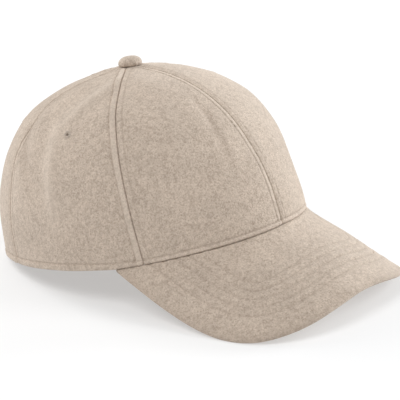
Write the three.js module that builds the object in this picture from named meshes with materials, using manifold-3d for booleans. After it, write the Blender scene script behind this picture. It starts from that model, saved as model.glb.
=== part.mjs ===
// A peaked cap of six wool panels, at rest on a level surface.
// Millimetres, +Z up. The peak points to -Y and the wearer's right is -X.
// The cap is first drawn upright, with its hem at height zero, then tipped forward onto its peak.
import * as THREE from 'three';
import { mergeVertices } from 'three/addons/utils/BufferGeometryUtils.js';
import Module from 'manifold-3d';

const wasm = await Module();
wasm.setup();

const RAD = Math.PI / 180;

// Cloth, and the small gap that neighbouring pieces keep
const CLOTH = 2.2;
const GAP = 0.3;

// The hem, from the middle of the head opening to the outside of the cloth
const HEM_FRONT = 102.4;
const HEM_BACK = 104.2;
const HEM_SIDE = 89.3;

// The crown. A fullness of 2 is an ellipse, and more is fuller.
const CROWN_HEIGHT = 108;
const CLIMB_FULLNESS = { front: 1.96, side: 2.9, back: 2.43 };
const SPREAD_FULLNESS = { front: 2.22, side: 2.51, back: 2.15 };
const TIP_RADIUS = 2.8;
const TIP_RISE = { height: 2.2, spread: 0.14 };

// Seams between panels, in degrees from the front at the hem and at the button
const SEAMS = {
  front: { hem: 0, top: 0 },
  temple: { hem: 59.5, top: 64.5 },
  ear: { hem: 120, top: 120 },
  back: { hem: 180, top: 180 },
};
const SEAM_LEAN_END = 0.8;
const PANELS = [
  { place: 'front', from: SEAMS.front, to: SEAMS.temple },
  { place: 'side', from: SEAMS.temple, to: SEAMS.ear },
  { place: 'back', from: SEAMS.ear, to: SEAMS.back },
];
const PANEL_COLUMNS = 12;
const PANEL_ROWS = 18;

// Soft hollows in the cloth: degrees from the front at top and hem, the stretch of the
// climb that each covers, its half width in degrees and its depth, less than 0 for a swell
const HOLLOWS = [
  { top: 92, hem: 106, low: 0.2, high: 0.95, width: 7, depth: 1.3 },
  { top: 91, hem: 91, low: 0.1, high: 0.5, width: 4, depth: 0.6 },
  { top: 14, hem: 14, low: 0.3, high: 0.8, width: 6, depth: 0.8 },
  { top: 72, hem: 60, low: 0.64, high: 0.98, width: 14, depth: 2.2 },
  { top: 48, hem: 48, low: 0.25, high: 0.7, width: 12, depth: -1.2 },
  { top: 34, hem: 34, low: 0.05, high: 0.36, width: 12, depth: 0.9 },
  { top: 170, hem: 170, low: 0.66, high: 0.94, width: 12, depth: 1.4 },
  { top: 146, hem: 146, low: 0.45, high: 0.85, width: 12, depth: -0.5 },
];
const HOLLOW_FADE = 0.15;
const SEAM_DIP = { width: 3.5, depth: 0.5 };

// The peak: its corners, outline, droop and arch
const PEAK_CORNER = 70.3;
const PEAK_THICKNESS = 4;
const PEAK_LENGTH = 66.9;
const PEAK_WIDTH = 95.9;
const PEAK_SLOPE = 36.3;
const PEAK_ARCH = { near: 3.84, far: 1.79 };
const PEAK_ROUNDNESS = { across: 2.88, along: 2.85 };
const PEAK_CORNER_TURN = { across: 7, up: 6.5 };
const PEAK_SINK = { depth: 1.9, out: 8 };
const HEM_LIFT = { height: 6.2, sharpness: 1.7 };
const PEAK_COLUMNS = 40;
const PEAK_ROWS = 8;
const PEAK_END = 0.997;

// Eyelets: degrees from the front, and the climb they sit at
const EYELETS = [
  { place: 'side', angle: 88.3 },
  { place: 'back', angle: 150 },
];
const EYELET_CLIMB = 0.59;
const EYELET_HOLE = 1;
const EYELET_BARREL = 1.5;
const EYELET_RADIUS = 3.1;
const EYELET_LIP = 0.5;
const EYELET_SEAT = 0.4;
const EYELET_CORNER = 0.2;
const EYELET_SIDES = 16;

// The covered button, with a shank through the crown and a flat head under it, which lies
// lower than its shank's hole because the crown falls away there. The dome leans forward.
const BUTTON_RADIUS = 7.5;
const BUTTON_HEIGHT = 5.2;
const BUTTON_FORWARD = 1.8;
const BUTTON_UNDERCUT = 1.2;
const BUTTON_SHANK = 2.3;
const BUTTON_HEAD = { radius: 4.5, thickness: 0.8, drop: 0.4 };
const BUTTON_SIDES = 28;

// The resting pose: tipped forward until hem and peak touch the surface, with the
// cloth flattened there, and moved until the middle of its box is at the origin
const REST_TILT = 11.23;
const REST_LIFT = 19.7;
const REST_SHIFT = 27.23;
const REST_FLOOR = new THREE.Plane(
  new THREE.Vector3(0, -Math.sin(REST_TILT * RAD), Math.cos(REST_TILT * RAD)),
  REST_LIFT,
);

const CLOTH_FINISH = { color: 0xbfb09f, roughness: 0.95, metalness: 0 };
const THREAD_FINISH = { color: 0xb5a693, roughness: 0.8, metalness: 0 };

const { clamp, lerp, smoothstep } = THREE.MathUtils;

// A value that changes evenly round the head between its front, side and back
function roundTheHead(angle, { front, side, back }) {
  const mean = ((front + back) / 2 + side) / 2;
  const swing = ((front + back) / 2 - side) / 2;
  return mean + ((front - back) / 2) * Math.cos(angle) + swing * Math.cos(2 * angle);
}

// Distance of the hem from the middle of the head, straight ahead or behind
function hemLength(angle) {
  return Math.cos(angle) > 0 ? HEM_FRONT : HEM_BACK;
}

// A point on the smooth crown, where climb runs from 0 at the hem's level to 1 at the top
function crownPoint(angle, climb) {
  const climbFullness = roundTheHead(angle, CLIMB_FULLNESS);
  const turn = (Math.PI / 2) * climb ** (climbFullness / 2);
  const reach = Math.max(Math.cos(turn), 0) ** (2 / roundTheHead(angle, SPREAD_FULLNESS));
  return new THREE.Vector3(
    -HEM_SIDE * Math.sin(angle) * reach,
    -hemLength(angle) * Math.cos(angle) * reach,
    CROWN_HEIGHT * Math.sin(turn) ** (2 / climbFullness)
      + TIP_RISE.height * Math.exp(-((reach / TIP_RISE.spread) ** 2)),
  );
}

// The way out of a surface at a point, from points a small step to each side
function wayOut(surface, angle, climb) {
  const step = 0.002;
  const middle = clamp(climb, step, 1 - 2 * step);
  const round = surface(angle + step, middle).sub(surface(angle - step, middle));
  const up = surface(angle, middle + step).sub(surface(angle, middle - step));
  return up.cross(round).normalize();
}

// How deep the cloth's hollows and the dip beside each seam are at a point
function hollowDepth(angle, climb) {
  const degrees = Math.abs(angle) / RAD;
  let depth = 0;
  for (const hollow of HOLLOWS) {
    const across = (degrees - lerp(hollow.hem, hollow.top, climb)) / hollow.width;
    const start = smoothstep(climb, hollow.low, hollow.low + HOLLOW_FADE);
    const end = 1 - smoothstep(climb, hollow.high - HOLLOW_FADE, hollow.high);
    depth += hollow.depth * Math.exp(-across * across) * start * end;
  }
  const girth = crownPoint(angle, climb).setZ(0).length();
  for (const seam of Object.values(SEAMS)) {
    const away = ((Math.abs(angle) - seamAngle(seam, climb)) * girth) / SEAM_DIP.width;
    depth += SEAM_DIP.depth * Math.exp(-away * away) * smoothstep(girth, 2, 20);
  }
  return depth;
}

// A point on the real cloth, a depth below its outer face
function clothPoint(angle, climb, depth) {
  const below = hollowDepth(angle, climb) + depth;
  return crownPoint(angle, climb).addScaledVector(wayOut(crownPoint, angle, climb), -below);
}

function seamAngle(seam, climb) {
  const lean = Math.sin((Math.PI / 2) * Math.min(1, climb / SEAM_LEAN_END));
  return lerp(seam.hem, seam.top, lean) * RAD;
}

// The hem rises over the middle of the peak
function hemHeight(angle) {
  const along = Math.min(Math.abs(angle) / (PEAK_CORNER * RAD), 1);
  return HEM_LIFT.height * (1 - along ** HEM_LIFT.sharpness);
}

function hemClimb(angle) {
  const fullness = roundTheHead(angle, CLIMB_FULLNESS);
  const turn = Math.asin((hemHeight(angle) / CROWN_HEIGHT) ** (fullness / 2));
  return (turn / (Math.PI / 2)) ** (2 / fullness);
}

// The climb at which the crown has closed in to the hole for the button's shank
function tipClimb(angle) {
  const hem = Math.hypot(HEM_SIDE * Math.sin(angle), hemLength(angle) * Math.cos(angle));
  const turn = Math.acos((TIP_RADIUS / hem) ** (roundTheHead(angle, SPREAD_FULLNESS) / 2));
  return (turn / (Math.PI / 2)) ** (2 / roundTheHead(angle, CLIMB_FULLNESS));
}

// Cloth that would pass through the surface below is pressed flat on it
function rested(point) {
  const height = REST_FLOOR.distanceToPoint(point);
  return height < 0 ? point.addScaledVector(REST_FLOOR.normal, -height) : point;
}

// A closed body through loops of points, with the last loop's end and the first's zipped shut
function loft(loops) {
  const count = loops[0].length;
  const index = [];
  for (let row = 0; row < loops.length - 1; row += 1) {
    for (let i = 0; i < count; i += 1) {
      const a = row * count + i;
      const b = row * count + ((i + 1) % count);
      index.push(a, b, b + count, a, b + count, a + count);
    }
  }
  const last = (loops.length - 1) * count;
  for (let i = 0, j = count - 1; i + 1 < j; i += 1, j -= 1) {
    index.push(i, j, i + 1, last + i, last + i + 1, last + j);
    if (i + 1 < j - 1) {
      index.push(i + 1, j, j - 1, last + i + 1, last + j - 1, last + j);
    }
  }
  const geometry = new THREE.BufferGeometry().setFromPoints(loops.flat());
  geometry.setIndex(index);
  geometry.computeVertexNormals();
  return geometry;
}

// One crown panel, as loops that run up its outside and down its inside
function panelGeometry({ from, to }, side) {
  const loops = [];
  for (let column = 0; column <= PANEL_COLUMNS; column += 1) {
    const across = column / PANEL_COLUMNS;
    const outside = [];
    const inside = [];
    for (let row = 0; row <= PANEL_ROWS; row += 1) {
      const straight = lerp(from.hem, to.hem, across) * RAD;
      const climb = lerp(hemClimb(straight), tipClimb(straight), row / PANEL_ROWS);
      const middle = lerp(seamAngle(from, climb), seamAngle(to, climb), across);
      const girth = crownPoint(middle, climb).setZ(0).length();
      const angle = side * (middle + ((0.5 - across) * GAP) / girth);
      outside.push(rested(clothPoint(angle, climb, 0)));
      inside.unshift(rested(clothPoint(angle, climb, CLOTH)));
    }
    loops.push([...outside, ...inside]);
  }
  return loft(side > 0 ? loops : loops.reverse());
}

// The line where the top of the peak meets the outside of the hem, from -1 to 1
function peakJunction(place) {
  const angle = place * PEAK_CORNER * RAD;
  return crownPoint(angle, hemClimb(angle)).setZ(hemHeight(angle) - GAP);
}

function peakDroop(x, y) {
  const ahead = -(y + HEM_FRONT);
  const arch = PEAK_ARCH.near * (x / 30) ** 2 + PEAK_ARCH.far * (x / 60) ** 4;
  return HEM_LIFT.height - Math.tan(PEAK_SLOPE * RAD) * ahead - arch;
}

// The outer edge of the peak at the middle of its thickness, from -1 to 1
function peakEdge(place) {
  const turn = (place * Math.PI) / 2;
  const across = Math.abs(Math.sin(turn));
  const along = Math.abs(Math.cos(turn));
  const corner = peakJunction(1);
  const reach = PEAK_LENGTH * Math.cos(PEAK_SLOPE * RAD) + HEM_FRONT + corner.y;
  const halfWidth = PEAK_WIDTH * across ** (2 / PEAK_ROUNDNESS.across)
    - (PEAK_WIDTH + corner.x) * across ** PEAK_CORNER_TURN.across;
  const x = -Math.sign(place) * halfWidth;
  const y = corner.y - reach * along ** (2 / PEAK_ROUNDNESS.along);
  const cornerDrop = peakDroop(corner.x, corner.y) - corner.z;
  return new THREE.Vector3(x, y, peakDroop(x, y) - cornerDrop * across ** PEAK_CORNER_TURN.up);
}

// The way up from the peak, where out runs from 0 at the crown to 1 at the edge
function peakNormal(place, out) {
  const step = 0.002;
  const at = clamp(place, step - 1, 1 - step);
  const before = peakJunction(at - step).lerp(peakEdge(at - step), out);
  const after = peakJunction(at + step).lerp(peakEdge(at + step), out);
  const outward = peakEdge(at).sub(peakJunction(at));
  return after.sub(before).cross(outward).normalize();
}

// How far the peak sinks just ahead of the crown, less towards its edge and corners
function peakSink(place, out, length) {
  const away = (out * length) / PEAK_SINK.out;
  return PEAK_SINK.depth * away * Math.exp(1 - away) * (1 - out) * (1 - place ** 4);
}

// A loop round the peak's section: tucked under the hem, out along the top, round
// the edge and back along the underside
function peakLoop(place) {
  const radius = PEAK_THICKNESS / 2;
  const edge = peakEdge(place);
  const start = peakJunction(place);
  const length = edge.distanceTo(start);
  const middle = start.clone().addScaledVector(peakNormal(place, 0), -radius);
  const at = (out, rise) => middle.clone().lerp(edge, out)
    .addScaledVector(peakNormal(place, out), rise - peakSink(place, out, length));
  const flat = Math.max(0, 1 - radius / length);
  const top = [];
  const underside = [];
  for (let row = 0; row <= PEAK_ROWS; row += 1) {
    const out = (flat * row) / PEAK_ROWS;
    top.push(at(out, radius));
    underside.unshift(at(out, -radius));
  }
  const rim = [60, 30, 0, -30, -60].map((turn) => {
    const out = lerp(flat, 1, Math.cos(turn * RAD));
    return at(out, radius * Math.sin(turn * RAD));
  });
  const angle = place * PEAK_CORNER * RAD;
  const tuck = clothPoint(angle, hemClimb(angle), CLOTH).setZ(start.z);
  return [tuck, ...top, ...rim, ...underside].map(rested);
}

// The peak's sections stand close together in its middle and at its rounded corners
function peakGeometry() {
  const loops = [];
  for (let column = 0; column <= PEAK_COLUMNS; column += 1) {
    const spread = Math.cos((Math.PI * column) / PEAK_COLUMNS);
    const turn = Math.asin(Math.abs(spread) ** (PEAK_ROUNDNESS.across / 2));
    loops.push(peakLoop((PEAK_END * Math.sign(spread) * turn) / (Math.PI / 2)));
  }
  return loft(loops);
}

// A round body, its profile given as radius and height, turned to stand along +Z
function turned(profile, sides) {
  const points = profile.map(([radius, height]) => new THREE.Vector2(radius, height));
  const geometry = new THREE.LatheGeometry(points, sides).rotateX(Math.PI / 2);
  geometry.deleteAttribute('normal');
  geometry.deleteAttribute('uv');
  const merged = mergeVertices(geometry, 1e-4);
  merged.computeVertexNormals();
  return merged;
}

function eyeletGeometry() {
  const top = EYELET_SEAT + EYELET_LIP;
  const bottom = -CLOTH - top;
  return turned([
    [EYELET_HOLE, bottom],
    [EYELET_RADIUS - EYELET_CORNER, bottom],
    [EYELET_RADIUS, bottom + EYELET_CORNER],
    [EYELET_RADIUS, -CLOTH - EYELET_SEAT],
    [EYELET_BARREL, -CLOTH - EYELET_SEAT],
    [EYELET_BARREL, EYELET_SEAT],
    [EYELET_RADIUS, EYELET_SEAT],
    [EYELET_RADIUS, top - EYELET_CORNER],
    [EYELET_RADIUS - EYELET_CORNER, top],
    [EYELET_HOLE, top],
    [EYELET_HOLE, bottom],
  ], EYELET_SIDES);
}

function buttonGeometry() {
  const neck = -CLOTH - GAP - BUTTON_HEAD.drop;
  const profile = [
    [0, neck - BUTTON_HEAD.thickness],
    [BUTTON_HEAD.radius, neck - BUTTON_HEAD.thickness],
    [BUTTON_HEAD.radius, neck],
    [BUTTON_SHANK, neck],
    [BUTTON_SHANK, GAP],
  ];
  const widest = GAP + BUTTON_UNDERCUT;
  for (let turn = -90; turn <= 90; turn += 15) {
    const under = turn < 0;
    const reach = Math.cos(turn * RAD);
    const radius = under
      ? BUTTON_RADIUS - BUTTON_UNDERCUT * (1 - reach)
      : BUTTON_RADIUS * Math.max(reach, 0) ** 0.8;
    const rise = under ? BUTTON_UNDERCUT : BUTTON_HEIGHT - BUTTON_UNDERCUT;
    profile.push([turn === 90 ? 0 : radius, widest + rise * Math.sin(turn * RAD)]);
  }
  const geometry = turned(profile, BUTTON_SIDES);
  const points = geometry.attributes.position;
  for (let i = 0; i < points.count; i += 1) {
    const lean = smoothstep(points.getZ(i), GAP, widest);
    points.setY(i, points.getY(i) - lean * BUTTON_FORWARD);
  }
  geometry.computeVertexNormals();
  return geometry;
}

function toManifold(geometry) {
  const bare = geometry.clone();
  bare.deleteAttribute('normal');
  bare.deleteAttribute('uv');
  const merged = mergeVertices(bare, 1e-4);
  return new wasm.Manifold(new wasm.Mesh({
    numProp: 3,
    vertProperties: new Float32Array(merged.attributes.position.array),
    triVerts: new Uint32Array(merged.index.array),
  }));
}

function fromManifold(solid) {
  const mesh = solid.getMesh();
  const geometry = new THREE.BufferGeometry();
  geometry.setAttribute('position', new THREE.BufferAttribute(mesh.vertProperties, 3));
  geometry.setIndex(new THREE.BufferAttribute(mesh.triVerts, 1));
  geometry.computeVertexNormals();
  return geometry;
}

// Where an eyelet sits on the crown, and how it is turned
function eyeletPlace(angle) {
  const face = (round, climb) => clothPoint(round, climb, 0);
  const axis = wayOut(face, angle, EYELET_CLIMB);
  return {
    position: face(angle, EYELET_CLIMB),
    quaternion: new THREE.Quaternion().setFromUnitVectors(new THREE.Vector3(0, 0, 1), axis),
  };
}

// A panel with the round hole for its eyelet cut through it
function pierced(geometry, angle) {
  const { position, quaternion } = eyeletPlace(angle);
  const radius = EYELET_BARREL + GAP;
  const cutter = new THREE.CylinderGeometry(radius, radius, 4 * CLOTH, EYELET_SIDES);
  cutter.rotateX(Math.PI / 2).applyQuaternion(quaternion).translate(...position);
  return fromManifold(toManifold(geometry).subtract(toManifold(cutter)));
}

function addPiece(parent, name, geometry, finish) {
  const mesh = new THREE.Mesh(geometry, new THREE.MeshStandardMaterial(finish));
  mesh.name = name;
  parent.add(mesh);
  return mesh;
}

const cap = new THREE.Group();

for (const [hand, side] of [['right', 1], ['left', -1]]) {
  for (const panel of PANELS) {
    const eyelet = EYELETS.find(({ place }) => place === panel.place);
    const plain = panelGeometry(panel, side);
    const geometry = eyelet ? pierced(plain, side * eyelet.angle * RAD) : plain;
    addPiece(cap, `panel_${panel.place}_${hand}`, geometry, CLOTH_FINISH);
  }
  for (const { place, angle } of EYELETS) {
    const mesh = addPiece(cap, `eyelet_${place}_${hand}`, eyeletGeometry(), THREAD_FINISH);
    const seat = eyeletPlace(side * angle * RAD);
    mesh.position.copy(seat.position);
    mesh.quaternion.copy(seat.quaternion);
  }
}
addPiece(cap, 'peak', peakGeometry(), CLOTH_FINISH);
const button = addPiece(cap, 'button', buttonGeometry(), CLOTH_FINISH);
button.position.z = CROWN_HEIGHT + TIP_RISE.height;

const resting = new THREE.Group();
cap.rotation.x = -REST_TILT * RAD;
cap.position.set(0, REST_SHIFT, REST_LIFT);
resting.add(cap);

export default resting;
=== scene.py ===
import math

import bpy
import mathutils
import numpy as np
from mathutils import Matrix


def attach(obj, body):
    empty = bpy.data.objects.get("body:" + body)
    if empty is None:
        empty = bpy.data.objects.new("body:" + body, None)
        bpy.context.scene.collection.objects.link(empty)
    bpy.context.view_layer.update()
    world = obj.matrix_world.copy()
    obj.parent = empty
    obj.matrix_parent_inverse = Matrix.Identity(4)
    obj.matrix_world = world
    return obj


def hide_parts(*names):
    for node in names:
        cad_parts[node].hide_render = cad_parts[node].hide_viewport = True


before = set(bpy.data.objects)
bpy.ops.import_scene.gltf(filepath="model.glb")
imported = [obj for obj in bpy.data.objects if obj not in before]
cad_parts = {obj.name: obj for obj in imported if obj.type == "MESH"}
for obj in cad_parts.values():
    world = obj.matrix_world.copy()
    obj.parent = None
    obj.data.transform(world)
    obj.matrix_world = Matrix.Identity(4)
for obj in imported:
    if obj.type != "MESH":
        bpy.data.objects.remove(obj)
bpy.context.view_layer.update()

# The form of the crown
# The real crown is wool cloth cut to shape and sewn into a dome, which a head and the
# worker's iron have set. Panels, stitches, eyelets and the peak's junction all follow it.
MM = 0.001
CLOTH = 2.2 * MM
CROWN_HEIGHT = 108 * MM
HEM_SIDE = 89.3 * MM
HEM_FRONT = 102.4 * MM
HEM_BACK = 104.2 * MM
CLIMB_FULLNESS = {"front": 1.96, "side": 2.9, "back": 2.43}
SPREAD_FULLNESS = {"front": 2.22, "side": 2.51, "back": 2.15}
TIP_RADIUS = 2.8 * MM
TIP_RISE = 2.2 * MM
TIP_SPREAD = 0.14
PEAK_CORNER = math.radians(70.3)
HEM_LIFT = 6.2 * MM
HEM_LIFT_SHARPNESS = 1.7

# Seams, in degrees from the front at the hem and at the button
SEAMS = {"front": (0, 0), "temple": (59.5, 64.5), "ear": (120, 120), "back": (180, 180)}
SEAM_LEAN_END = 0.8

# Soft hollows: degrees from the front at hem and top, the stretch of the climb that each
# covers, its half width in degrees and its depth, less than 0 for a swell
HOLLOWS = [
    {"hem": 106, "top": 92, "low": 0.2, "high": 0.95, "width": 7, "depth": 1.3 * MM},
    {"hem": 91, "top": 91, "low": 0.1, "high": 0.5, "width": 4, "depth": 0.6 * MM},
    {"hem": 60, "top": 72, "low": 0.64, "high": 0.98, "width": 14, "depth": 2.2 * MM},
    {"hem": 48, "top": 48, "low": 0.25, "high": 0.7, "width": 12, "depth": -1.2 * MM},
    {"hem": 34, "top": 34, "low": 0.05, "high": 0.36, "width": 12, "depth": 0.9 * MM},
    {"hem": 170, "top": 170, "low": 0.66, "high": 0.94, "width": 12, "depth": 1.4 * MM},
    {"hem": 146, "top": 146, "low": 0.45, "high": 0.85, "width": 12, "depth": -0.5 * MM},
]
HOLLOW_FADE = 0.15

# Creases on the wearer's right: degrees from the front and climb at the lower and upper
# end, the half width and the height, less than 0 for a furrow
CREASES = [
    {"low": (18, 0.30), "high": (14.5, 0.62), "width": 3.6 * MM, "height": -0.8 * MM},
    {"low": (37, 0.44), "high": (36, 0.62), "width": 4 * MM, "height": 0.35 * MM},
    {"low": (92, 0.22), "high": (96.5, 0.68), "width": 4.5 * MM, "height": 1.4 * MM},
    {"low": (89, 0.67), "high": (71, 0.90), "width": 4 * MM, "height": 2.1 * MM},
    {"low": (108, 0.40), "high": (122, 0.68), "width": 6 * MM, "height": -1.3 * MM},
]
CREASE_END = 0.09
SEAM_DIP = 0.5 * MM
SEAM_DIP_WIDTH = 3.5 * MM
SEAM_DIP_STARTS = (2 * MM, 20 * MM)

# The resting pose: tipped forward, then lifted and moved onto the surface
REST_TILT = math.radians(11.23)
REST_LIFT = 19.7 * MM
REST_SHIFT = 27.23 * MM


def lerp(start, end, share):
    """The value a share of the way from start to end."""
    return start + (end - start) * share


def smoothstep(value, low, high):
    """0 below low and 1 above high, with the cubic 3t^2 - 2t^3 between."""
    t = np.clip((value - low) / (high - low), 0, 1)
    return t * t * (3 - 2 * t)


def bump(distance, width):
    """A bell curve of height 1, e to the minus square of distance over width."""
    return np.exp(-((distance / width) ** 2))


def round_the_head(angle, front, side, back):
    """The mean, plus a cosine of the angle for front against back and one of twice the
    angle for the ends against the sides."""
    mean = ((front + back) / 2 + side) / 2
    swing = ((front + back) / 2 - side) / 2
    return mean + (front - back) / 2 * np.cos(angle) + swing * np.cos(2 * angle)


def crown_point(angle, climb):
    """A dome whose climb turns through a quarter circle: the turn's cosine closes it in and
    its sine raises it, each to a power of 2 over a fullness that changes round the head. A
    bell curve of the reach draws its tip up under the button."""
    rise = round_the_head(angle, **CLIMB_FULLNESS)
    spread = round_the_head(angle, **SPREAD_FULLNESS)
    turn = np.pi / 2 * climb ** (rise / 2)
    reach = np.maximum(np.cos(turn), 0) ** (2 / spread)
    hem = np.where(np.cos(angle) > 0, HEM_FRONT, HEM_BACK)
    x = -HEM_SIDE * np.sin(angle) * reach
    y = -hem * np.cos(angle) * reach
    z = CROWN_HEIGHT * np.sin(turn) ** (2 / rise) + TIP_RISE * bump(reach, TIP_SPREAD)
    return np.stack(np.broadcast_arrays(x, y, z), axis=-1)


def unit(vectors):
    """The vectors divided by their lengths."""
    return vectors / np.linalg.norm(vectors, axis=-1, keepdims=True)


def way_out(surface, angle, climb, step=0.002):
    """The cross product of the differences of a surface across a small step upwards and
    across one round the head, which points out of the crown."""
    middle = np.clip(climb, step, 1 - 2 * step)
    round_head = surface(angle + step, middle) - surface(angle - step, middle)
    upwards = surface(angle, middle + step) - surface(angle, middle - step)
    return unit(np.cross(upwards, round_head))


def seam_angle(seam, climb):
    """A seam's angle, which eases from its hem value to its top value as a quarter sine."""
    hem, top = np.radians(seam)
    return lerp(hem, top, np.sin(np.pi / 2 * np.minimum(1, climb / SEAM_LEAN_END)))


def girth(angle, climb):
    """Distance from the crown's upright middle line."""
    return np.linalg.norm(crown_point(angle, climb)[..., :2], axis=-1)


def hollow_depth(angle, climb):
    """The sum of a bell curve for each hollow, faded at its ends, and of one beside each
    seam, where the cloth is drawn in by its sewing."""
    around = np.abs(angle)
    depth = 0
    for hollow in HOLLOWS:
        middle = np.radians(lerp(hollow["hem"], hollow["top"], climb))
        start = smoothstep(climb, hollow["low"], hollow["low"] + HOLLOW_FADE)
        end = 1 - smoothstep(climb, hollow["high"] - HOLLOW_FADE, hollow["high"])
        bell = bump(around - middle, math.radians(hollow["width"]))
        depth = depth + hollow["depth"] * bell * start * end
    out = girth(angle, climb)
    for seam in SEAMS.values():
        away = (around - seam_angle(seam, climb)) * out
        depth = depth + SEAM_DIP * bump(away, SEAM_DIP_WIDTH) * smoothstep(out, *SEAM_DIP_STARTS)
    return depth


def crease_height(angle, climb):
    """Ridges and furrows along straight lines of angle and climb: a bell curve of the
    distance round the head, which fades out past both ends."""
    height = np.zeros(np.broadcast(angle, climb).shape)
    for crease in CREASES:
        (first, low), (second, high) = crease["low"], crease["high"]
        line = np.radians(lerp(first, second, (climb - low) / (high - low)))
        away = (angle - line) * girth(angle, climb)
        start = smoothstep(climb, low - CREASE_END, low + CREASE_END)
        end = 1 - smoothstep(climb, high - CREASE_END, high + CREASE_END)
        height = height + crease["height"] * bump(away, crease["width"]) * start * end
    return height


def hem_height(angle):
    """The hem stands higher over the middle of the peak and comes down to its corners."""
    along = np.minimum(np.abs(angle) / PEAK_CORNER, 1)
    return HEM_LIFT * (1 - along**HEM_LIFT_SHARPNESS)


def hem_climb(angle):
    """The crown's climb at the hem's height, from the dome's formula turned round."""
    rise = round_the_head(angle, **CLIMB_FULLNESS)
    turn = np.arcsin((hem_height(angle) / CROWN_HEIGHT) ** (rise / 2))
    return (turn / (np.pi / 2)) ** (2 / rise)


def tip_climb(angle):
    """The climb at which the crown has closed in to the hole for the button's shank."""
    hem = girth(angle, np.zeros_like(angle))
    turn = np.arccos((TIP_RADIUS / hem) ** (round_the_head(angle, **SPREAD_FULLNESS) / 2))
    return (turn / (np.pi / 2)) ** (2 / round_the_head(angle, **CLIMB_FULLNESS))


def put_down(points):
    """Upright points turned about X by the resting tilt and moved to the surface, where
    cloth that would pass below it is pressed flat."""
    x, y, z = np.moveaxis(points, -1, 0)
    forward = y * math.cos(REST_TILT) + z * math.sin(REST_TILT) + REST_SHIFT
    height = z * math.cos(REST_TILT) - y * math.sin(REST_TILT) + REST_LIFT
    return np.stack([x, forward, np.maximum(height, 0)], axis=-1)


# The sewing that shows on the crown
# Seam allowances are pressed open and stitched down 4 mm to each side. The layers raise a
# welt that leans down to the seam, higher on one side, and each row pulls a groove. The hem
# is turned up and stitched too. The raised welts and the hem over the peak get a painted
# highlight, and the rows get painted shade.
SEAM_GROOVE = 0.85 * MM
SEAM_GROOVE_WIDTH = 0.34 * MM
WELT = 0.85 * MM
WELT_FRONT = 0.2 * MM
WELT_LOW = 0.2 * MM
WELT_CREST = 3.2 * MM
ROW_AWAY = 4.0 * MM
WELT_END = ROW_AWAY + 0.4 * MM
ROW_GROOVE = 0.55 * MM
ROW_GROOVE_LOW = 0.38 * MM
ROW_WIDTH = 0.55 * MM
STITCH_PITCH = 3.1 * MM
DIMPLE = 0.28
HEM_ROW = 4.4 * MM
HEM_ROW_PEAK = 3.0 * MM
HEM_ROW_DROPS = (math.radians(58), math.radians(74))
HEM_SWELL = 0.3 * MM
HEM_SWELL_ENDS = (-1.5 * MM, 0.3 * MM)
PUCKER = 0.14 * MM
HEM_PUCKER_WIDTH = 3 * MM
PUCKER_SHIFT = 20 * MM
# Painted highlight beside the seams and on the hem over the peak, and painted light and shade by
# crease height
HIGHLIGHT_FRONT = 0.35
HIGHLIGHT_LOW = 0.15
HEM_HIGHLIGHT = 0.7
CREASE_LIGHT_DEPTH = 1.6 * MM
HIGHLIGHT_STARTS = (0.2 * MM, 0.9 * MM)
HEM_HIGHLIGHT_STARTS = (0.2 * MM, 0.8 * MM)
HEM_HIGHLIGHT_ENDS = (-0.9 * MM, -0.2 * MM)
# Painted shade along the sewn rows
PAINTED_ROW_SHADE = 0.75
BUTTON_COVER = 7 * MM
SEWN_FULL = 2.4 * BUTTON_COVER
TIP_GROOVE = 0.5
RIPPLE = 0.28 * MM
RIPPLE_WAVES = 14
RIPPLE_LENGTHS = (24 * MM, 42 * MM)
PUCKER_WAVES = 5
PUCKER_LENGTHS = (5 * MM, 11 * MM)

chance = np.random.default_rng(7)
ripple_ways = unit(chance.normal(size=(RIPPLE_WAVES, 3)))
ripple_lengths = chance.uniform(*RIPPLE_LENGTHS, RIPPLE_WAVES)
ripple_starts = chance.uniform(0, 2 * np.pi, RIPPLE_WAVES)
pucker_lengths = chance.uniform(*PUCKER_LENGTHS, PUCKER_WAVES)
pucker_starts = chance.uniform(0, 2 * np.pi, PUCKER_WAVES)


def ripples(points):
    """Soft unevenness of worn cloth: plane waves of several lengths and directions, added."""
    phase = 2 * np.pi * (points @ ripple_ways.T) / ripple_lengths + ripple_starts
    return RIPPLE * np.sin(phase).sum(axis=-1) / math.sqrt(RIPPLE_WAVES)


def puckers(along):
    """Small gathers along a row of stitches: sines of several lengths, added."""
    phase = 2 * np.pi * np.asarray(along)[..., None] / pucker_lengths + pucker_starts
    return PUCKER * np.sin(phase).sum(axis=-1) / math.sqrt(PUCKER_WAVES)


def speed_round(angle, climb, step=0.002):
    """Metres of cloth for each radian round the head."""
    gap = crown_point(angle + step, climb) - crown_point(angle - step, climb)
    return np.linalg.norm(gap, axis=-1) / (2 * step)


def speed_up(angle, climb, step=0.002):
    """Metres of cloth for each unit of climb."""
    middle = np.clip(climb, step, 1 - step)
    gap = crown_point(angle, middle + step) - crown_point(angle, middle - step)
    return np.linalg.norm(gap, axis=-1) / (2 * step)


def arc_lengths(points):
    """The running length along a line of points, which starts at 0."""
    steps = np.linalg.norm(np.diff(points, axis=0), axis=-1)
    return np.concatenate([[0], np.cumsum(steps)])


def hem_row_height(angle):
    """The hem row's distance above the edge, lower where the peak is sewn on."""
    share = smoothstep(np.abs(angle), *HEM_ROW_DROPS)
    return lerp(HEM_ROW_PEAK, HEM_ROW, share)


# Each seam's own running length, from the hem to the top
seam_climbs = np.linspace(0, 0.999, 800)
seam_lengths = {}
for name, seam in SEAMS.items():
    line = crown_point(seam_angle(seam, seam_climbs), seam_climbs)
    seam_lengths[name] = arc_lengths(line)

hem_angles = np.linspace(0, np.pi, 1600)
hem_lengths = arc_lengths(crown_point(hem_angles, hem_climb(hem_angles)))


def dimples(along):
    """A row's depth along its length: 1 where the thread goes in, less under a stitch."""
    return 1 - DIMPLE + DIMPLE * np.cos(2 * np.pi * along / STITCH_PITCH)


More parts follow.
